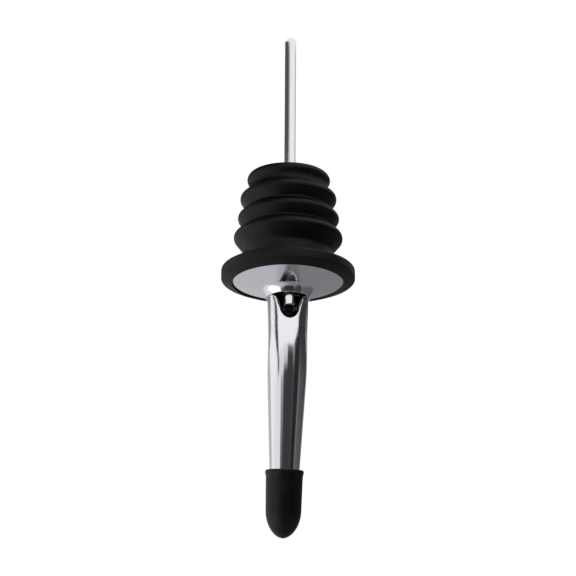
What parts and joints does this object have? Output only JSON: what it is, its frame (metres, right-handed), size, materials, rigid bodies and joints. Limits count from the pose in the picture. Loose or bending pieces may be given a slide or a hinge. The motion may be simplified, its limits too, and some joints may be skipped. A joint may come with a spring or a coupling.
{
  "type": "liquor pourer",
  "caption": "Free-flow liquor pourer: ribbed rubber cork with a flange, chromed disc, bent tapered spout with a vent scoop, breather tube, and a pull-off rubber tip cap.",
  "frame": {"origin": "centre of the flange face that sits on the bottle's rim, on the cork's axis", "axes": "+Z out of the bottle along the cork's axis, -Y the side that the vent faces, +Y the way the spout leans"},
  "size_m": [0.032, 0.032, 0.1229],
  "materials": {
    "rubber": "matt moulded",
    "cap_rubber": "satin moulded",
    "chrome": "polished plate",
    "steel": "drawn tube",
    "solder": "dull solder"
  },
  "bodies": {
    "pourer": {"cork": "rubber", "stem_tube": "steel", "breather_tube": "steel", "collar_disc": "chrome", "collar_braze": "solder", "spout_tube": "chrome", "vent_solder": "solder"},
    "cap": {"tip_cap": "cap_rubber"}
  },
  "joints": [
    {"name": "cap_pull", "type": "slide", "parent": "pourer", "child": "cap", "axis": [0, 0.1908, 0.9816], "range_m": [0, 0.025]}
  ]
}
